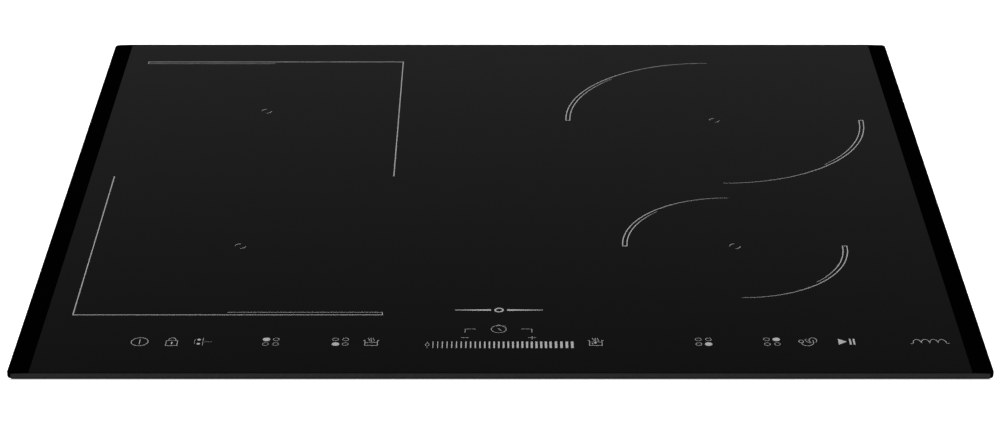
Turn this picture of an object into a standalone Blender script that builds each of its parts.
"""Built-in induction hob, 60 cm class: four zones, the left pair bridged, touch controls.

Metres, +Z up, front towards -Y. The origin is the centre of the box's underside, so the
casing stands on z = 0 and the glass ends at z = TOTAL_HEIGHT.
"""

import math

import bmesh
import bpy
from mathutils import Matrix, Vector

# Driving dimensions: the glass and the worktop cut-out that it covers.
GLASS_WIDTH = 0.580
GLASS_DEPTH = 0.510
GLASS_THICKNESS = 0.004
GLASS_CORNER_RADIUS = 0.003
GLASS_ARRIS = 0.0004
FACET_WIDTH = 0.013
FACET_DROP = 0.00035
TOTAL_HEIGHT = 0.055
CUTOUT_WIDTH = 0.560
CUTOUT_DEPTH = 0.490

# Gap left between pieces that touch on the real hob, and how far a cutter passes a sheet.
GAP = 0.0003
CUT = 0.004

# Foam tape under the rim.
SEAL_THICKNESS = 0.002
SEAL_INSET = 0.002
SEAL_WIDTH = 0.010

# Folded frame bonded under the glass, and the pan below it.
FRAME_CLEARANCE = 0.003
FRAME_SHEET = 0.0012
FRAME_FLANGE = 0.010
FRAME_SKIRT_BOTTOM = 0.030
FRAME_CORNER_RADIUS = 0.006
CASING_SHEET = 0.001
CASING_SIDE_GAP = 0.0004
CASING_FOLD = 0.0015
CASING_TOP_GAP = 0.0007

# Ventilation slots, one width everywhere.
SLOT_WIDTH = 0.003
SLOT_HEIGHT = 0.016
SLOT_BOTTOM = 0.008
SLOT_PITCH = 0.009
FRONT_SLOTS = 16
FRONT_SLOT_GROUP_X = 0.150
REAR_SLOTS = 14
REAR_SLOT_GROUP_X = -0.150
SIDE_SLOTS = 8
SIDE_SLOT_GROUP_Y = -0.060
INTAKE_SLOTS = 9
INTAKE_PITCH = 0.007
AIR_WINDOW_BOTTOM = 0.006
AIR_WINDOW_TOP = 0.028

# Spring clips and the screws that hold them, the frame and the casing together.
CLIP_Y = 0.150
CLIP_WIDTH = 0.022
CLIP_SHEET = 0.0008
CLIP_STANDOFF = 0.0006
CLIP_PIVOT_Z = 0.040
CLIP_NOSE_Z = 0.017
CLIP_NOSE_REACH = 0.0075
SCREW_RADIUS = 0.0016
SCREW_HOLE_RADIUS = 0.0020
SCREW_HEAD_RADIUS = 0.0035
SCREW_HEAD_HEIGHT = 0.0020
SCREW_SOCKET_RADIUS = 0.0016
SCREW_SOCKET_DEPTH = 0.0012
SCREW_LENGTH = 0.007

# Coil sets: centre and winding radius of each.
COIL_SETS = {
    "left_rear": (-0.167, 0.130, 0.088),
    "left_front": (-0.167, -0.087, 0.088),
    "right_rear": (0.1515, 0.114, 0.090),
    "right_front": (0.151, -0.087, 0.062),
}
COIL_SEGMENTS = 28
COIL_HUB_RADIUS = 0.019
COIL_THICKNESS = 0.0052
FORMER_THICKNESS = 0.005
FORMER_RIM = 0.002
FORMER_SECTORS = 6
FORMER_HALF_SPOKE = 0.16
FORMER_BORE_RADIUS = 0.012
FORMER_HUB_RADIUS = 0.026
FORMER_HOOP = 0.006
DISC_THICKNESS = 0.0014
DISC_RIM = 0.004
SENSOR_RADIUS = 0.009
SENSOR_HEAD_RADIUS = 0.006
SENSOR_HEAD_LENGTH = 0.004
CARRIER_SHEET = 0.0012
CARRIER_MARGIN = 0.007
CARRIER_CORNER_RADIUS = 0.012
CARRIER_HOLE = (0.030, 0.050)
CARRIER_HOLE_OFFSET = 0.55
SPRING_SHEET = 0.0008
SPRING_RISE = 0.0034
SPRING_LENGTH = 0.060
SPRING_WIDTH = 0.016

# Tray over the electronics: a wide inverted U of aluminium sheet.
TRAY_SHEET = 0.0012
TRAY_HALF_WIDTH = 0.264
TRAY_FRONT = -0.190
TRAY_REAR = 0.226
TRAY_TOP = 0.0322

# Electronics.
BOARD_THICKNESS = 0.0016
BASE_THICKNESS = 0.002
POST_RADIUS = 0.004
POST_HEIGHT = 0.0044
POWER_BOARD_X = 0.132
POWER_BOARD_Y = -0.035
POWER_BOARD_SIZE = (0.220, 0.260)
HEATSINK_WIDTH = 0.120
HEATSINK_LENGTH = 0.090
HEATSINK_HEIGHT = 0.020
HEATSINK_BASE = 0.004
HEATSINK_FINS = 13
HEATSINK_FIN_WIDTH = 0.0018
TRANSISTOR_BLOCK = (0.110, 0.016, 0.009)
LINK_CAPACITOR = (0.032, 0.020, 0.018)
FILTER_BOARD_CENTRE = (-0.010, 0.165)
FILTER_BOARD_SIZE = (0.120, 0.095)
CHOKE_RING_RADIUS = 0.013
CHOKE_SECTION = (0.005, 0.0065)
FAN_X = 0.120
FAN_Y = 0.160
FAN_SIZE = 0.080
FAN_DEPTH = 0.015
FAN_DUCT_RADIUS = 0.0385
FAN_BLADES = 7
FAN_TWIST = math.radians(24)
FAN_SHAFT_RADIUS = 0.0020
FAN_BORE_RADIUS = 0.0024
FAN_SPIDER_RADIUS = 0.013
FAN_SPIDER_THICKNESS = 0.0015
FAN_SHAFT_TOP = 0.009
FAN_STRUT_WIDTH = 0.003
FAN_ROTOR_BOTTOM = 0.0025
FAN_ROTOR_CLEARANCE = 0.0010
FAN_HUB_RADIUS = 0.015
FAN_TIP_RADIUS = 0.0365

# Half width of a fan blade, in radians, at each radius from the hub out to the tip.
BLADE_SHAPE = ((FAN_HUB_RADIUS, 0.11), (0.026, 0.06), (FAN_TIP_RADIUS, 0.05))

# Touch electronics under the control row.
CONTROL_Y = -0.216
TOUCH_HALF_WIDTH = 0.255
TOUCH_DEPTH = 0.034
LIGHT_GUIDE_SIZE = (0.470, 0.016)
LIGHT_WINDOW_SIZE = (0.012, 0.009)
LIGHT_WINDOWS_X = (-0.200, -0.130, -0.090, 0.0, 0.060, 0.125, 0.165, 0.205)
RIBBON_X = -0.060
RIBBON_WIDTH = 0.020
RIBBON_THICKNESS = 0.0008
BRACKET_SHEET = 0.0016
BRACKET_TOP = 0.0427

# Terminal box on the rear wall.
TERMINAL_X = 0.200
TERMINAL_POLES = 5
TERMINAL_PITCH = 0.0144
TERMINAL_FENCE = 0.0024
TERMINAL_BLOCK_DEPTH = 0.026
TERMINAL_BLOCK_HEIGHT = 0.018
TERMINAL_NOTCH = 0.008
TERMINAL_WINDOW = (0.092, 0.015)
TERMINAL_CENTRE_Z = 0.016
TERMINAL_FRAME_SIZE = (0.118, 0.025)
TERMINAL_FRAME_THICKNESS = 0.003
COVER_SIZE = (0.108, 0.0205)
COVER_DEPTH = 0.0064
COVER_WALL = 0.0015
HINGE_Z = 0.0055
HINGE_KNUCKLE_RADIUS = 0.0024
HINGE_BORE_RADIUS = 0.0015
HINGE_PIN_RADIUS = 0.00125
GLAND_X = 0.100
GLAND_Z = 0.014
GLAND_HOLE_RADIUS = 0.0093
GLAND_FLANGE_RADIUS = 0.0115
GLAND_BORE_RADIUS = 0.0052

# Levels and faces that follow from the dimensions above.
GLASS_BOTTOM = TOTAL_HEIGHT - GLASS_THICKNESS
UNDER_GLASS = GLASS_BOTTOM - GAP
FRAME_WIDTH = CUTOUT_WIDTH - 2 * FRAME_CLEARANCE
FRAME_DEPTH = CUTOUT_DEPTH - 2 * FRAME_CLEARANCE
CASING_WIDTH = FRAME_WIDTH - 2 * (FRAME_SHEET + CASING_SIDE_GAP)
CASING_DEPTH = FRAME_DEPTH - 2 * (FRAME_SHEET + CASING_SIDE_GAP)
CASING_TOP = UNDER_GLASS - FRAME_SHEET - CASING_TOP_GAP
FLOOR_TOP = CASING_SHEET + GAP
DISC_BOTTOM = UNDER_GLASS - DISC_THICKNESS
COIL_BOTTOM = DISC_BOTTOM - GAP - COIL_THICKNESS
FORMER_BOTTOM = COIL_BOTTOM - GAP - FORMER_THICKNESS
CARRIER_BOTTOM = FORMER_BOTTOM - GAP - CARRIER_SHEET
SPRING_BOTTOM = TRAY_TOP + GAP
BOARD_BOTTOM = FLOOR_TOP + BASE_THICKNESS + POST_HEIGHT + GAP
ON_BOARD = BOARD_BOTTOM + BOARD_THICKNESS + GAP
FAN_BOTTOM = FLOOR_TOP + BASE_THICKNESS + GAP


# Materials: name, colour, roughness, metallic.
MATERIALS = {
    "glass_ceramic": ((0.012, 0.012, 0.013), 0.08, 0.0),
    "foam": ((0.03, 0.03, 0.03), 0.95, 0.0),
    "galvanised_steel": ((0.55, 0.56, 0.57), 0.42, 1.0),
    "spring_steel": ((0.42, 0.43, 0.45), 0.35, 1.0),
    "screw_steel": ((0.60, 0.60, 0.58), 0.30, 1.0),
    "aluminium": ((0.75, 0.76, 0.77), 0.35, 1.0),
    "ferrite_former": ((0.05, 0.05, 0.055), 0.6, 0.0),
    "copper_winding": ((0.60, 0.27, 0.13), 0.45, 0.6),
    "mica": ((0.62, 0.56, 0.44), 0.55, 0.0),
    "white_ceramic": ((0.80, 0.79, 0.76), 0.5, 0.0),
    "circuit_board": ((0.03, 0.16, 0.07), 0.5, 0.0),
    "black_plastic": ((0.02, 0.02, 0.022), 0.5, 0.0),
    "grey_plastic": ((0.35, 0.36, 0.37), 0.55, 0.0),
    "white_plastic": ((0.78, 0.78, 0.75), 0.5, 0.0),
    "rubber": ((0.02, 0.02, 0.02), 0.8, 0.0),
    "ribbon": ((0.55, 0.56, 0.58), 0.5, 0.0),
}


def material(name):
    """One shared Principled material for each name in MATERIALS."""
    found = bpy.data.materials.get(name)
    if found:
        return found
    colour, roughness, metallic = MATERIALS[name]
    made = bpy.data.materials.new(name)
    made.use_nodes = True
    shader = made.node_tree.nodes["Principled BSDF"]
    shader.inputs["Base Color"].default_value = (*colour, 1.0)
    shader.inputs["Roughness"].default_value = roughness
    shader.inputs["Metallic"].default_value = metallic
    return made


def group(name, location=(0, 0, 0), parent=None):
    """An empty that its pieces are parented to."""
    empty = bpy.data.objects.new(name, None)
    empty.location = location
    empty.parent = parent
    bpy.context.scene.collection.objects.link(empty)
    return empty


def piece(name, bm, material_name, parent, location=(0, 0, 0), smooth=False):
    """Turn a bmesh into a named object with its material."""
    bmesh.ops.recalc_face_normals(bm, faces=bm.faces)
    mesh = bpy.data.meshes.new(name)
    bm.to_mesh(mesh)
    bm.free()
    if smooth:
        mesh.shade_smooth()
        mesh.set_sharp_from_angle(angle=math.radians(35))
    mesh.materials.append(material(material_name))
    made = bpy.data.objects.new(name, mesh)
    made.location = location
    made.parent = parent
    bpy.context.scene.collection.objects.link(made)
    return made


def combine(target, bm, operation, suffix):
    """Cut a tool mesh from a piece, or add it, with a Boolean modifier.

    The tool is in the piece's own coordinates, so it is parented to the piece.
    """
    bmesh.ops.recalc_face_normals(bm, faces=bm.faces)
    mesh = bpy.data.meshes.new(f"{target.name}_{suffix}")
    bm.to_mesh(mesh)
    bm.free()
    tool = bpy.data.objects.new(f"{target.name}_{suffix}", mesh)
    tool.parent = target
    tool.hide_render = True
    tool.display_type = "WIRE"
    bpy.context.scene.collection.objects.link(tool)
    modifier = target.modifiers.new(suffix, "BOOLEAN")
    modifier.operation = operation
    modifier.solver = "EXACT"
    modifier.object = tool


def rounded_rectangle(width, depth, radius, z, centre=(0, 0), steps=3):
    """Points of a rounded rectangle at height z, anticlockwise from above."""
    points = []
    corners = ((1, 1, 0), (-1, 1, 90), (-1, -1, 180), (1, -1, 270))
    for side_x, side_y, start in corners:
        x = centre[0] + side_x * (width / 2 - radius)
        y = centre[1] + side_y * (depth / 2 - radius)
        for step in range(steps + 1):
            angle = math.radians(start + 90 * step / steps)
            points.append(Vector((x + radius * math.cos(angle), y + radius * math.sin(angle), z)))
    return points


def circle(radius, z, segments, centre=(0, 0)):
    """Points of a circle at height z, anticlockwise from above."""
    points = []
    for step in range(segments):
        angle = 2 * math.pi * step / segments
        x = centre[0] + radius * math.cos(angle)
        y = centre[1] + radius * math.sin(angle)
        points.append(Vector((x, y, z)))
    return points


def loft(loops, ring=False, bm=None):
    """Skin loops of equal length: capped at both ends, or joined last to first as a ring."""
    bm = bm or bmesh.new()
    rows = [[bm.verts.new(point) for point in loop] for loop in loops]
    pairs = list(zip(rows, rows[1:]))
    if ring:
        pairs.append((rows[-1], rows[0]))
    for low, high in pairs:
        for index, corner in enumerate(low):
            after = (index + 1) % len(low)
            bm.faces.new((corner, low[after], high[after], high[index]))
    if not ring:
        bm.faces.new(rows[0][::-1])
        bm.faces.new(rows[-1])
    return bm


def turned(profile, segments, ring=False, centre=(0, 0), bm=None):
    """Turn (radius, z) points about Z: a ring's section closes on itself."""
    return loft([circle(radius, z, segments, centre) for radius, z in profile], ring, bm)


def prism(outline, axis, start, end, bm=None):
    """Extrude a flat outline along X, Y or Z. The outline holds the other two coordinates."""
    def place(point, along):
        values = list(point)
        values.insert("XYZ".index(axis), along)
        return Vector(values)

    loops = [[place(point, along) for point in outline] for along in (start, end)]
    return loft(loops, bm=bm)


def box(low, high, bm=None):
    """A plain box between two corners."""
    outline = ((low[0], low[1]), (high[0], low[1]), (high[0], high[1]), (low[0], high[1]))
    return prism(outline, "Z", low[2], high[2], bm)


def slab(width, depth, radius, bottom, top, centre=(0, 0)):
    """A flat plate with rounded corners."""
    return loft([rounded_rectangle(width, depth, radius, z, centre) for z in (bottom, top)])


def perforated(outline, holes, bottom, top):
    """A flat plate with holes: the outline and the holes are loops of points at z = bottom."""
    bm = bmesh.new()
    edges = []
    for loop in (outline, *holes):
        verts = [bm.verts.new(point) for point in loop]
        for index, vert in enumerate(verts):
            edges.append(bm.edges.new((vert, verts[(index + 1) % len(verts)])))
    bmesh.ops.triangle_fill(bm, use_beauty=True, use_dissolve=False, edges=edges)
    raised = bmesh.ops.extrude_face_region(bm, geom=list(bm.faces))
    moved = [item for item in raised["geom"] if isinstance(item, bmesh.types.BMVert)]
    bmesh.ops.translate(bm, vec=(0, 0, top - bottom), verts=moved)
    return bm


def cylinder_along(axis, radius, centre, start, end, segments=16, bm=None):
    """A cylinder along X, Y or Z whose centre line holds the other two coordinates."""
    outline = []
    for step in range(segments):
        angle = 2 * math.pi * step / segments
        outline.append((centre[0] + radius * math.cos(angle), centre[1] + radius * math.sin(angle)))
    return prism(outline, axis, start, end, bm)


def centred_positions(count, pitch, centre):
    """Evenly spaced positions around a centre."""
    return [centre + (index - (count - 1) / 2) * pitch for index in range(count)]


def make_glass(parent):
    """The ceramic glass: a sheet with small arrises, ground to a shallow facet at both sides."""
    middle = GLASS_THICKNESS / 2
    levels = (
        (-middle, GLASS_ARRIS),
        (-middle + GLASS_ARRIS, 0.0),
        (middle - GLASS_ARRIS, 0.0),
        (middle, GLASS_ARRIS),
    )
    loops = []
    for z, inset in levels:
        width = GLASS_WIDTH - 2 * inset
        depth = GLASS_DEPTH - 2 * inset
        radius = GLASS_CORNER_RADIUS - inset
        loops.append(rounded_rectangle(width, depth, radius, z, steps=4))
    bm = loft(loops)
    flat_half = GLASS_WIDTH / 2 - FACET_WIDTH
    for x in (-flat_half, flat_half):
        everything = bm.verts[:] + bm.edges[:] + bm.faces[:]
        bmesh.ops.bisect_plane(bm, geom=everything, plane_co=(x, 0, 0), plane_no=(1, 0, 0))
    for vert in bm.verts:
        past = abs(vert.co.x) - flat_half
        if vert.co.z > 0 and past > 0:
            vert.co.z -= FACET_DROP * past / FACET_WIDTH
    location = (0, 0, GLASS_BOTTOM + middle)
    piece("glass_top", bm, "glass_ceramic", parent, location)


def make_seal(parent):
    """Foam tape that the rim rests on."""
    outer_width = GLASS_WIDTH - 2 * SEAL_INSET
    outer_depth = GLASS_DEPTH - 2 * SEAL_INSET
    inner_width = outer_width - 2 * SEAL_WIDTH
    inner_depth = outer_depth - 2 * SEAL_WIDTH
    bottom = -SEAL_THICKNESS
    loops = [
        rounded_rectangle(inner_width, inner_depth, 0.0005, bottom),
        rounded_rectangle(outer_width, outer_depth, 0.001, bottom),
        rounded_rectangle(outer_width, outer_depth, 0.001, 0),
        rounded_rectangle(inner_width, inner_depth, 0.0005, 0),
    ]
    piece("worktop_seal", loft(loops, ring=True), "foam", parent, (0, 0, UNDER_GLASS))


def side_bores(radius, centre_z, start, end):
    """Four bores along X at the clips, as one cutter: start and end are distances from x = 0."""
    bm = bmesh.new()
    for side in (-1, 1):
        for y in (-CLIP_Y, CLIP_Y):
            cylinder_along("X", radius, (y, centre_z), side * start, side * end, 12, bm)
    return bm


def make_support_frame(parent):
    """L-section frame: a flange bonded to the glass and a skirt around the casing."""
    inner_width = FRAME_WIDTH - 2 * FRAME_FLANGE
    inner_depth = FRAME_DEPTH - 2 * FRAME_FLANGE
    inside_width = FRAME_WIDTH - 2 * FRAME_SHEET
    inside_depth = FRAME_DEPTH - 2 * FRAME_SHEET
    radius = FRAME_CORNER_RADIUS
    inside_radius = radius - FRAME_SHEET
    under_flange = UNDER_GLASS - FRAME_SHEET
    loops = [
        rounded_rectangle(inner_width, inner_depth, 0.003, UNDER_GLASS),
        rounded_rectangle(FRAME_WIDTH, FRAME_DEPTH, radius, UNDER_GLASS),
        rounded_rectangle(FRAME_WIDTH, FRAME_DEPTH, radius, FRAME_SKIRT_BOTTOM),
        rounded_rectangle(inside_width, inside_depth, inside_radius, FRAME_SKIRT_BOTTOM),
        rounded_rectangle(inside_width, inside_depth, inside_radius, under_flange),
        rounded_rectangle(inner_width, inner_depth, 0.003, under_flange),
    ]
    frame = piece("support_frame", loft(loops, ring=True), "galvanised_steel", parent)
    start = FRAME_WIDTH / 2 - CUT
    end = FRAME_WIDTH / 2 + CUT
    combine(frame, side_bores(SCREW_HOLE_RADIUS, CLIP_PIVOT_Z, start, end), "DIFFERENCE", "bores")


def wall_slots():
    """Ventilation slots through the front, rear and side walls, as one cutter."""
    bm = bmesh.new()
    low = SLOT_BOTTOM
    high = SLOT_BOTTOM + SLOT_HEIGHT
    half = SLOT_WIDTH / 2
    front = -CASING_DEPTH / 2
    side = CASING_WIDTH / 2
    for group_x in (-FRONT_SLOT_GROUP_X, FRONT_SLOT_GROUP_X):
        for x in centred_positions(FRONT_SLOTS, SLOT_PITCH, group_x):
            box((x - half, front - CUT, low), (x + half, front + CUT, high), bm)
    for x in centred_positions(REAR_SLOTS, SLOT_PITCH, REAR_SLOT_GROUP_X):
        box((x - half, -front - CUT, low), (x + half, -front + CUT, high), bm)
    for wall in (-side, side):
        for y in centred_positions(SIDE_SLOTS, SLOT_PITCH, SIDE_SLOT_GROUP_Y):
            box((wall - CUT, y - half, low), (wall + CUT, y + half, high), bm)
    return bm


def intake_slots():
    """Parallel slots in the floor under each fan, cut to the round of the duct."""
    bm = bmesh.new()
    half = SLOT_WIDTH / 2
    for fan_x in (-FAN_X, FAN_X):
        for offset in centred_positions(INTAKE_SLOTS, INTAKE_PITCH, 0):
            length = math.sqrt(FAN_DUCT_RADIUS ** 2 - offset ** 2) - 0.003
            x = fan_x + offset
            low = (x - half, FAN_Y - length, -CUT)
            high = (x + half, FAN_Y + length, CUT)
            box(low, high, bm)
    return bm


def make_casing(parent):
    """The lower pan: folded bottom edge, slots, terminal window and cable hole."""
    wall = CASING_SHEET
    loops = []
    fold = CASING_FOLD
    for z, inset in ((0, fold), (fold * 0.3, fold * 0.3), (fold, 0), (CASING_TOP, 0)):
        width = CASING_WIDTH - 2 * inset
        depth = CASING_DEPTH - 2 * inset
        loops.append(rounded_rectangle(width, depth, 0.004, z))
    for z in (CASING_TOP, wall):
        width = CASING_WIDTH - 2 * wall
        depth = CASING_DEPTH - 2 * wall
        loops.append(rounded_rectangle(width, depth, 0.003, z))
    casing = piece("lower_casing", loft(loops), "galvanised_steel", parent)
    combine(casing, wall_slots(), "DIFFERENCE", "slots")
    combine(casing, intake_slots(), "DIFFERENCE", "intakes")
    rear = CASING_DEPTH / 2
    half_width = TERMINAL_WINDOW[0] / 2
    half_height = TERMINAL_WINDOW[1] / 2
    low = (TERMINAL_X - half_width, rear - CUT, TERMINAL_CENTRE_Z - half_height)
    high = (TERMINAL_X + half_width, rear + CUT, TERMINAL_CENTRE_Z + half_height)
    openings = box(low, high)
    cylinder_along("Y", GLAND_HOLE_RADIUS, (GLAND_X, GLAND_Z), rear - CUT, rear + CUT, 20, openings)
    combine(casing, openings, "DIFFERENCE", "openings")
    start = CASING_WIDTH / 2 - CUT
    end = CASING_WIDTH / 2 + CUT
    combine(casing, side_bores(SCREW_HOLE_RADIUS, CLIP_PIVOT_Z, start, end), "DIFFERENCE", "bores")


def clip_outline():
    """Section of a clip from its foot down: (out, up) from the pivot on the middle of the sheet."""
    half = CLIP_SHEET / 2
    nose = CLIP_NOSE_Z - CLIP_PIVOT_Z
    line = (
        (0.0, 0.006),
        (0.0, -0.003),
        (CLIP_NOSE_REACH * 0.88, nose + 0.003),
        (CLIP_NOSE_REACH, nose),
        (CLIP_NOSE_REACH * 0.88, nose - 0.003),
        (CLIP_NOSE_REACH * 0.45, nose - 0.009),
    )
    outer = [(out + half, up) for out, up in line]
    inner = [(out - half, up) for out, up in reversed(line)]
    return outer + inner


def make_clips(parent):
    """Spring clips on the skirt's sides, each with its origin on its flexing axis."""
    axis_x = FRAME_WIDTH / 2 + CLIP_STANDOFF + CLIP_SHEET / 2
    head = axis_x + CLIP_SHEET / 2 + CLIP_STANDOFF
    for side_name, side in (("left", -1), ("right", 1)):
        for end_name, y in (("front", -CLIP_Y), ("rear", CLIP_Y)):
            outline = [(side * out, up) for out, up in clip_outline()]
            strip = prism(outline, "Y", -CLIP_WIDTH / 2, CLIP_WIDTH / 2)
            name = f"mounting_clip_{side_name}_{end_name}"
            clip = piece(name, strip, "spring_steel", parent, (side * axis_x, y, CLIP_PIVOT_Z))
            bore = cylinder_along("X", SCREW_HOLE_RADIUS, (0, 0), -CUT, CUT, 12)
            combine(clip, bore, "DIFFERENCE", "bore")
            name = f"casing_screw_{side_name}_{end_name}"
            place = (side * head, y, CLIP_PIVOT_Z)
            screw = piece(name, screw_mesh(side), "screw_steel", parent, place, True)
            deep = SCREW_HEAD_HEIGHT - SCREW_SOCKET_DEPTH
            socket = cylinder_along("X", SCREW_SOCKET_RADIUS, (0, 0), side * deep, side * (deep + CUT), 6)
            combine(screw, socket, "DIFFERENCE", "socket")


def screw_mesh(side):
    """Pan-head screw along X whose head's underside is at x = 0."""
    profile = (
        (SCREW_RADIUS * 0.7, -SCREW_LENGTH),
        (SCREW_RADIUS, -SCREW_LENGTH + 0.0006),
        (SCREW_RADIUS, 0),
        (SCREW_HEAD_RADIUS, 0),
        (SCREW_HEAD_RADIUS, SCREW_HEAD_HEIGHT * 0.55),
        (SCREW_HEAD_RADIUS * 0.8, SCREW_HEAD_HEIGHT),
    )
    bm = turned(profile, 16)
    turn = Matrix.Rotation(side * math.radians(90), 4, "Y")
    bmesh.ops.transform(bm, matrix=turn, verts=bm.verts)
    return bm


def sector_hole(inner, outer, start, end, z):
    """A window between two arcs, for a spoked disc."""
    points = []
    for step in range(4):
        angle = start + (end - start) * step / 3
        points.append(Vector((outer * math.cos(angle), outer * math.sin(angle), z)))
    for step in range(3):
        angle = end + (start - end) * step / 2
        points.append(Vector((inner * math.cos(angle), inner * math.sin(angle), z)))
    return points


def make_former(name, radius, parent):
    """Spoked plastic disc that carries the winding, its ferrite bars in the spokes."""
    outline = circle(radius + FORMER_RIM, 0, COIL_SEGMENTS)
    holes = [circle(FORMER_BORE_RADIUS, 0, 12)]
    sector = 2 * math.pi / FORMER_SECTORS
    for index in range(FORMER_SECTORS):
        start = index * sector + FORMER_HALF_SPOKE
        end = (index + 1) * sector - FORMER_HALF_SPOKE
        holes.append(sector_hole(FORMER_HUB_RADIUS, radius - FORMER_HOOP, start, end, 0))
    bm = perforated(outline, holes, 0, FORMER_THICKNESS)
    piece(f"coil_former_{name}", bm, "ferrite_former", parent, (0, 0, FORMER_BOTTOM))


def make_coil_sets(parent):
    """Winding, former, mica disc, sensor and leaf spring of each zone."""
    for name, (x, y, radius) in COIL_SETS.items():
        zone = group(f"zone_{name}", (x, y, 0), parent)
        make_former(name, radius, zone)
        section = (
            (COIL_HUB_RADIUS, 0),
            (radius, 0),
            (radius, COIL_THICKNESS),
            (COIL_HUB_RADIUS, COIL_THICKNESS),
        )
        winding = turned(section, COIL_SEGMENTS, ring=True)
        piece(f"induction_coil_{name}", winding, "copper_winding", zone, (0, 0, COIL_BOTTOM), True)
        rim = radius + DISC_RIM
        hole = SENSOR_RADIUS + 0.001
        section = ((hole, 0), (rim, 0), (rim, DISC_THICKNESS), (hole, DISC_THICKNESS))
        disc = turned(section, COIL_SEGMENTS, ring=True)
        piece(f"insulation_disc_{name}", disc, "mica", zone, (0, 0, DISC_BOTTOM), True)
        height = UNDER_GLASS - FORMER_BOTTOM
        shoulder = height - SENSOR_HEAD_LENGTH
        profile = (
            (SENSOR_RADIUS, 0),
            (SENSOR_RADIUS, shoulder),
            (SENSOR_HEAD_RADIUS, shoulder),
            (SENSOR_HEAD_RADIUS, height),
        )
        sensor = turned(profile, 16)
        piece(f"temperature_sensor_{name}", sensor, "white_ceramic", zone, (0, 0, FORMER_BOTTOM), True)
        make_leaf_spring(name, zone)


def make_leaf_spring(name, parent):
    """Bowed strip between the tray and the carrier plate."""
    half = SPRING_LENGTH / 2
    lower = []
    upper = []
    for step in range(7):
        x = -half + SPRING_LENGTH * step / 6
        rise = SPRING_RISE * (1 - (x / half) ** 2)
        lower.append((x, rise))
        upper.append((x, rise + SPRING_SHEET))
    strip = prism(lower + upper[::-1], "Y", -SPRING_WIDTH / 2, SPRING_WIDTH / 2)
    piece(f"leaf_spring_{name}", strip, "spring_steel", parent, (0, 0, SPRING_BOTTOM))


def make_carrier(name, members, parent):
    """Aluminium plate under one coil set or a bridged pair."""
    reach = CARRIER_MARGIN
    sets = [COIL_SETS[member] for member in members]
    low_x = min(x - radius for x, _, radius in sets) - reach
    high_x = max(x + radius for x, _, radius in sets) + reach
    low_y = min(y - radius for _, y, radius in sets) - reach
    high_y = max(y + radius for _, y, radius in sets) + reach
    centre = ((low_x + high_x) / 2, (low_y + high_y) / 2)
    outline = rounded_rectangle(high_x - low_x, high_y - low_y, CARRIER_CORNER_RADIUS, 0)
    holes = []
    for x, y, radius in sets:
        offset = (x - centre[0], y - centre[1])
        for side in (-1, 1):
            hole_centre = (offset[0] + side * radius * CARRIER_HOLE_OFFSET, offset[1])
            holes.append(rounded_rectangle(*CARRIER_HOLE, 0.006, 0, hole_centre, steps=2))
    plate = perforated(outline, holes, 0, CARRIER_SHEET)
    piece(f"coil_carrier_{name}", plate, "aluminium", parent, (*centre, CARRIER_BOTTOM))


def make_tray(parent):
    """Sheet between coils and electronics, folded down to the casing's floor at both sides."""
    half = TRAY_HALF_WIDTH
    sheet = TRAY_SHEET
    outline = (
        (-half, FLOOR_TOP),
        (-half + sheet, FLOOR_TOP),
        (-half + sheet, TRAY_TOP - sheet),
        (half - sheet, TRAY_TOP - sheet),
        (half - sheet, FLOOR_TOP),
        (half, FLOOR_TOP),
        (half, TRAY_TOP),
        (-half, TRAY_TOP),
    )
    tray = piece("coil_tray", prism(outline, "Y", TRAY_FRONT, TRAY_REAR), "aluminium", parent)
    passages = bmesh.new()
    for x in (-0.020, 0.030):
        for y in (-0.100, 0.060):
            box((x, y, 0.028), (x + 0.026, y + 0.016, 0.036), passages)
    slots_reach = SIDE_SLOTS * SLOT_PITCH / 2
    for x in (-half, half):
        low = (x - 0.004, SIDE_SLOT_GROUP_Y - slots_reach, AIR_WINDOW_BOTTOM)
        high = (x + 0.004, SIDE_SLOT_GROUP_Y + slots_reach, AIR_WINDOW_TOP)
        box(low, high, passages)
    combine(tray, passages, "DIFFERENCE", "passages")


def make_base(parent):
    """Plastic base with posts for the boards and a round opening under each fan."""
    bottom = FLOOR_TOP
    width = 2 * (TRAY_HALF_WIDTH - TRAY_SHEET - 0.004)
    depth = TRAY_REAR - TRAY_FRONT - 0.008
    centre = (0, (TRAY_REAR + TRAY_FRONT) / 2)
    outline = rounded_rectangle(width, depth, 0.008, bottom, centre)
    holes = [circle(FAN_DUCT_RADIUS, bottom, 20, (x, FAN_Y)) for x in (-FAN_X, FAN_X)]
    base = piece("electronics_base", perforated(outline, holes, bottom, bottom + BASE_THICKNESS),
                 "black_plastic", parent)
    posts = bmesh.new()
    sunk = bottom + BASE_THICKNESS / 2
    top = bottom + BASE_THICKNESS + POST_HEIGHT
    for x in (-POWER_BOARD_X, POWER_BOARD_X):
        for post in board_corners((x, POWER_BOARD_Y), POWER_BOARD_SIZE):
            turned(((POST_RADIUS, sunk), (POST_RADIUS, top)), 8, centre=post, bm=posts)
    for post in board_corners(FILTER_BOARD_CENTRE, FILTER_BOARD_SIZE):
        turned(((POST_RADIUS, sunk), (POST_RADIUS, top)), 8, centre=post, bm=posts)
    combine(base, posts, "UNION", "posts")


def board_corners(centre, size, inset=0.008):
    """Places of a board's four posts."""
    half_x = size[0] / 2 - inset
    half_y = size[1] / 2 - inset
    return [(centre[0] + i * half_x, centre[1] + j * half_y) for i in (-1, 1) for j in (-1, 1)]


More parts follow.
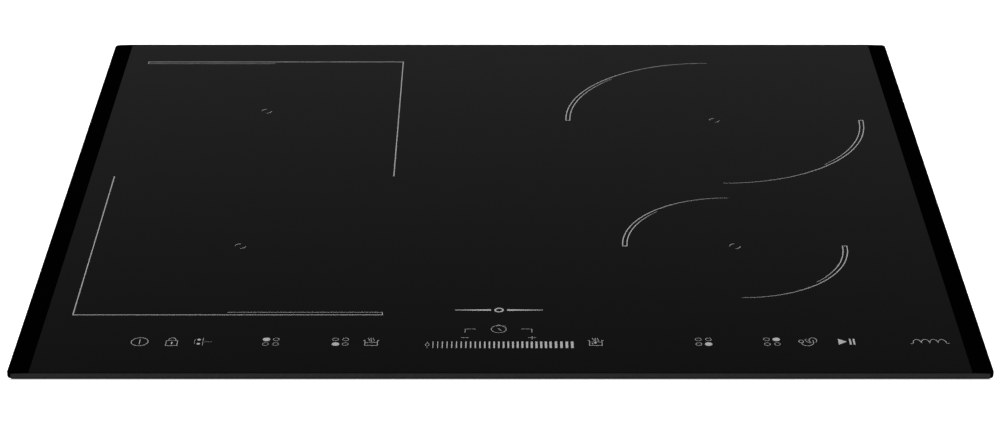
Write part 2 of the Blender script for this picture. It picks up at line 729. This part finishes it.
def heatsink_outline():
    """Comb section of an extruded heatsink, in X and Z."""
    half = HEATSINK_WIDTH / 2
    points = [(-half, 0), (half, 0)]
    pitch = (HEATSINK_WIDTH - HEATSINK_FIN_WIDTH) / (HEATSINK_FINS - 1)
    for index in reversed(range(HEATSINK_FINS)):
        left = index * pitch - half
        right = left + HEATSINK_FIN_WIDTH
        if index < HEATSINK_FINS - 1:
            points.append((right, HEATSINK_BASE))
        points.append((right, HEATSINK_HEIGHT))
        points.append((left, HEATSINK_HEIGHT))
        if index > 0:
            points.append((left, HEATSINK_BASE))
    return points


def make_power_electronics(parent):
    """A power board for each side, with heatsink, transistor block and link capacitor."""
    for name, side in (("left", -1), ("right", 1)):
        centre = (side * POWER_BOARD_X, POWER_BOARD_Y)
        board = slab(*POWER_BOARD_SIZE, 0.003, 0, BOARD_THICKNESS)
        piece(f"power_board_{name}", board, "circuit_board", parent, (*centre, BOARD_BOTTOM))
        comb = prism(heatsink_outline(), "Y", -HEATSINK_LENGTH / 2, HEATSINK_LENGTH / 2)
        place = (centre[0] - side * 0.030, centre[1] + 0.055, ON_BOARD)
        piece(f"heatsink_{name}", comb, "aluminium", parent, place)
        width, depth, height = TRANSISTOR_BLOCK
        block = slab(width, depth, 0.001, 0, height)
        place = (centre[0] - side * 0.030, centre[1], ON_BOARD)
        piece(f"power_transistors_{name}", block, "black_plastic", parent, place)
        width, depth, height = LINK_CAPACITOR
        can = slab(width, depth, 0.003, 0, height)
        place = (centre[0] + side * 0.070, centre[1] - 0.060, ON_BOARD)
        piece(f"link_capacitor_{name}", can, "grey_plastic", parent, place)


def make_filter(parent):
    """Mains filter board with its ring choke."""
    board = slab(*FILTER_BOARD_SIZE, 0.003, 0, BOARD_THICKNESS)
    piece("filter_board", board, "circuit_board", parent, (*FILTER_BOARD_CENTRE, BOARD_BOTTOM))
    half_width, half_height = CHOKE_SECTION
    section = []
    for step in range(8):
        angle = 2 * math.pi * step / 8
        radius = CHOKE_RING_RADIUS + half_width * math.cos(angle)
        section.append((radius, half_height + half_height * math.sin(angle)))
    choke = turned(section, 20, ring=True)
    place = (FILTER_BOARD_CENTRE[0] - 0.022, FILTER_BOARD_CENTRE[1], ON_BOARD)
    piece("line_choke", choke, "copper_winding", parent, place, True)


def rotor_outline():
    """Hub circle with straight blades, as (angle, radius) points round the rotor."""
    points = []
    blade = 2 * math.pi / FAN_BLADES
    for index in range(FAN_BLADES):
        middle = index * blade
        for radius, half in BLADE_SHAPE:
            points.append((middle - half, radius))
        for radius, half in reversed(BLADE_SHAPE):
            points.append((middle + half, radius))
        points.append((middle + blade / 2, FAN_HUB_RADIUS))
    return points


def make_fan(name, x, parent):
    """Axial fan: square frame with struts and a shaft, and a rotor that turns on it."""
    fan = group(f"fan_{name}", (x, FAN_Y, FAN_BOTTOM), parent)
    outline = rounded_rectangle(FAN_SIZE, FAN_SIZE, 0.005, 0)
    duct = perforated(outline, [circle(FAN_DUCT_RADIUS, 0, 24)], 0, FAN_DEPTH)
    frame = piece(f"fan_frame_{name}", duct, "black_plastic", fan)
    profile = (
        (FAN_SPIDER_RADIUS, 0),
        (FAN_SPIDER_RADIUS, FAN_SPIDER_THICKNESS),
        (FAN_SHAFT_RADIUS, FAN_SPIDER_THICKNESS),
        (FAN_SHAFT_RADIUS, FAN_SHAFT_TOP),
    )
    spider = turned(profile, 16)
    reach = FAN_DUCT_RADIUS + 0.0006
    half = FAN_STRUT_WIDTH / 2
    struts = box((-reach, -half, 0.0002), (reach, half, 0.0012))
    box((-half, -reach, 0.0004), (half, reach, 0.0010), struts)
    combine(frame, spider, "UNION", "spider")
    combine(frame, struts, "UNION", "struts")
    loops = []
    rotor_height = FAN_DEPTH - FAN_ROTOR_BOTTOM - FAN_ROTOR_CLEARANCE
    for step in range(3):
        level = step / 2
        ring = []
        for angle, radius in rotor_outline():
            share = (radius - FAN_HUB_RADIUS) / (FAN_TIP_RADIUS - FAN_HUB_RADIUS)
            turn = angle + FAN_TWIST * level * (0.35 + 0.65 * share)
            ring.append(Vector((radius * math.cos(turn), radius * math.sin(turn), rotor_height * level)))
        loops.append(ring)
    place = (0, 0, FAN_ROTOR_BOTTOM)
    rotor = piece(f"fan_rotor_{name}", loft(loops), "black_plastic", fan, place)
    bore_top = FAN_SHAFT_TOP - FAN_ROTOR_BOTTOM + 0.0010
    bore = turned(((FAN_BORE_RADIUS, -0.002), (FAN_BORE_RADIUS, bore_top)), 16)
    combine(rotor, bore, "DIFFERENCE", "bore")


def make_touch_electronics(parent):
    """Touch board on its bracket, the light guide over it and the ribbon cable to the power board."""
    front = CONTROL_Y - TOUCH_DEPTH / 2 - 0.002
    rear = CONTROL_Y + TOUCH_DEPTH / 2 + 0.003
    sheet = BRACKET_SHEET
    outline = (
        (front, FLOOR_TOP),
        (front + sheet, FLOOR_TOP),
        (front + sheet, BRACKET_TOP - sheet),
        (rear - sheet, BRACKET_TOP - sheet),
        (rear - sheet, FLOOR_TOP),
        (rear, FLOOR_TOP),
        (rear, BRACKET_TOP),
        (front, BRACKET_TOP),
    )
    half = TOUCH_HALF_WIDTH
    bracket = piece("touch_bracket", prism(outline, "X", -half, half), "black_plastic", parent)
    windows = bmesh.new()
    slots_reach = FRONT_SLOTS * SLOT_PITCH / 2
    for x in (-FRONT_SLOT_GROUP_X, FRONT_SLOT_GROUP_X):
        low = (x - slots_reach, front - 0.002, AIR_WINDOW_BOTTOM)
        high = (x + slots_reach, rear + 0.002, AIR_WINDOW_TOP)
        box(low, high, windows)
    combine(bracket, windows, "DIFFERENCE", "windows")
    board_bottom = BRACKET_TOP + GAP
    board = slab(2 * half - 0.010, TOUCH_DEPTH, 0.002, 0, BOARD_THICKNESS)
    piece("touch_board", board, "circuit_board", parent, (0, CONTROL_Y, board_bottom))
    guide_bottom = board_bottom + BOARD_THICKNESS + GAP
    guide_top = UNDER_GLASS
    outline = rounded_rectangle(*LIGHT_GUIDE_SIZE, 0.002, 0)
    windows = []
    for x in LIGHT_WINDOWS_X:
        windows.append(rounded_rectangle(*LIGHT_WINDOW_SIZE, 0.001, 0, (x, 0), steps=1))
    guide = perforated(outline, windows, 0, guide_top - guide_bottom)
    piece("display_light_guide", guide, "white_plastic", parent, (0, CONTROL_Y, guide_bottom))
    make_ribbon(rear, board_bottom, parent)


def make_ribbon(start_y, top, parent):
    """Flat cable from the rear edge of the touch board down to the power board."""
    sheet = RIBBON_THICKNESS
    drop_y = start_y + 0.0022
    end_y = POWER_BOARD_Y - POWER_BOARD_SIZE[1] / 2 + 0.012
    start_y = CONTROL_Y + TOUCH_DEPTH / 2 + GAP
    low = ON_BOARD
    outline = (
        (start_y, top),
        (start_y, top + sheet),
        (drop_y + sheet, top + sheet),
        (drop_y + sheet, low + sheet),
        (end_y, low + sheet),
        (end_y, low),
        (drop_y, low),
        (drop_y, top),
    )
    ribbon = prism(outline, "X", -RIBBON_WIDTH / 2, RIBBON_WIDTH / 2)
    piece("ribbon_cable", ribbon, "ribbon", parent, (RIBBON_X, 0, 0))


def make_terminal_box(parent):
    """Terminal block behind a window in the rear wall, its frame, hinged cover and pin."""
    wall = CASING_DEPTH / 2
    half_fence = TERMINAL_FENCE / 2
    half_block = TERMINAL_POLES * TERMINAL_PITCH / 2
    depth = TERMINAL_BLOCK_DEPTH
    block_outline = []
    for index in range(TERMINAL_POLES + 1):
        x = index * TERMINAL_PITCH - half_block
        block_outline.append((x - half_fence, depth))
        block_outline.append((x + half_fence, depth))
        if index < TERMINAL_POLES:
            block_outline.append((x + half_fence, depth - TERMINAL_NOTCH))
            block_outline.append((x + TERMINAL_PITCH - half_fence, depth - TERMINAL_NOTCH))
    half_block += half_fence
    block_outline += [(half_block, 0), (-half_block, 0)]
    block = prism(block_outline, "Z", 0, TERMINAL_BLOCK_HEIGHT)
    block_place = (TERMINAL_X, wall - 0.035, FLOOR_TOP + BASE_THICKNESS + GAP)
    piece("terminal_block", block, "white_plastic", parent, block_place)

    frame_front = wall + GAP
    frame_rear = frame_front + TERMINAL_FRAME_THICKNESS
    frame = group("terminal_box", (TERMINAL_X, 0, TERMINAL_CENTRE_Z), parent)
    rail = []
    for y in (frame_front, frame_rear):
        rail.append([Vector((p.x, y, p.y)) for p in rounded_rectangle(*TERMINAL_FRAME_SIZE, 0.002, 0)])
    window = []
    for y in (frame_rear, frame_front):
        window.append([Vector((p.x, y, p.y)) for p in rounded_rectangle(*TERMINAL_WINDOW, 0.001, 0)])
    surround = piece("terminal_frame", loft(rail + window, ring=True), "black_plastic", frame)

    hinge_y = wall + GAP + TERMINAL_FRAME_THICKNESS + GAP + COVER_DEPTH - HINGE_KNUCKLE_RADIUS
    hinge_up = HINGE_Z - TERMINAL_CENTRE_Z
    lugs = bmesh.new()
    for side in (-1, 1):
        x = side * (COVER_SIZE[0] / 2 + 0.003)
        low = (x - 0.002, frame_rear - 0.0008, hinge_up - HINGE_KNUCKLE_RADIUS + 0.0006)
        high = (x + 0.002, hinge_y + 0.0022, hinge_up + 0.0045)
        box(low, high, lugs)
    combine(surround, lugs, "UNION", "lugs")
    reach = COVER_SIZE[0] / 2 + 0.008
    bore = cylinder_along("X", HINGE_BORE_RADIUS, (hinge_y, hinge_up), -reach, reach, 16)
    combine(surround, bore, "DIFFERENCE", "bore")

    pin = cylinder_along("X", HINGE_PIN_RADIUS, (0, 0), -reach + 0.002, reach - 0.002, 16)
    pin_place = (TERMINAL_X, hinge_y, HINGE_Z)
    piece("cover_hinge_pin", pin, "screw_steel", parent, pin_place, True)
    make_cover(frame_rear + GAP, pin_place, parent)


def make_cover(front_y, hinge, parent):
    """Hinged cover: a shallow tray open towards the casing, its origin on the hinge pin."""
    near = front_y - hinge[1]
    far = near + COVER_DEPTH
    width, height = COVER_SIZE
    centre_up = 0.0015 + height / 2
    wall = COVER_WALL

    def level(y, inset, radius):
        outline = rounded_rectangle(width - 2 * inset, height - 2 * inset, radius, 0)
        return [Vector((p.x, y, p.y + centre_up)) for p in outline]

    loops = [
        level(far, 0.0008, 0.0016),
        level(far - 0.0008, 0.0, 0.0024),
        level(near, 0.0, 0.0024),
        level(near, wall, 0.0010),
        level(far - wall, wall, 0.0010),
    ]
    cover = piece("terminal_cover", loft(loops), "black_plastic", parent, hinge)
    half = width / 2
    knuckle = cylinder_along("X", HINGE_KNUCKLE_RADIUS, (0, 0), -half + 0.0006, half - 0.0006, 12)
    combine(cover, knuckle, "UNION", "knuckle")
    bore = cylinder_along("X", HINGE_BORE_RADIUS, (0, 0), -half - 0.002, half + 0.002, 16)
    combine(cover, bore, "DIFFERENCE", "bore")


def make_gland(parent):
    """Rubber grommet in the rear wall, where the mains lead goes in."""
    wall = CASING_DEPTH / 2
    inside = -CASING_SHEET - GAP
    neck = GLAND_HOLE_RADIUS - GAP
    section = (
        (GLAND_BORE_RADIUS, inside - 0.002),
        (GLAND_FLANGE_RADIUS, inside - 0.002),
        (GLAND_FLANGE_RADIUS, inside),
        (neck, inside),
        (neck, GAP),
        (GLAND_FLANGE_RADIUS, GAP),
        (GLAND_FLANGE_RADIUS - 0.002, GAP + 0.004),
        (GLAND_BORE_RADIUS + 0.001, GAP + 0.005),
        (GLAND_BORE_RADIUS, GAP + 0.004),
    )
    bm = turned(section, 20, ring=True)
    bmesh.ops.transform(bm, matrix=Matrix.Rotation(math.radians(-90), 4, "X"), verts=bm.verts)
    piece("cable_gland", bm, "rubber", parent, (GLAND_X, wall, GLAND_Z), True)


def main():
    for old in list(bpy.data.objects):
        bpy.data.objects.remove(old)
    hob = group("induction_hob")
    make_glass(hob)
    make_seal(hob)
    make_support_frame(hob)
    make_casing(hob)
    make_clips(hob)
    make_coil_sets(hob)
    make_carrier("left", ("left_rear", "left_front"), hob)
    make_carrier("right_rear", ("right_rear",), hob)
    make_carrier("right_front", ("right_front",), hob)
    make_tray(hob)
    make_base(hob)
    make_power_electronics(hob)
    make_filter(hob)
    make_fan("left", -FAN_X, hob)
    make_fan("right", FAN_X, hob)
    make_touch_electronics(hob)
    make_terminal_box(hob)
    make_gland(hob)


main()
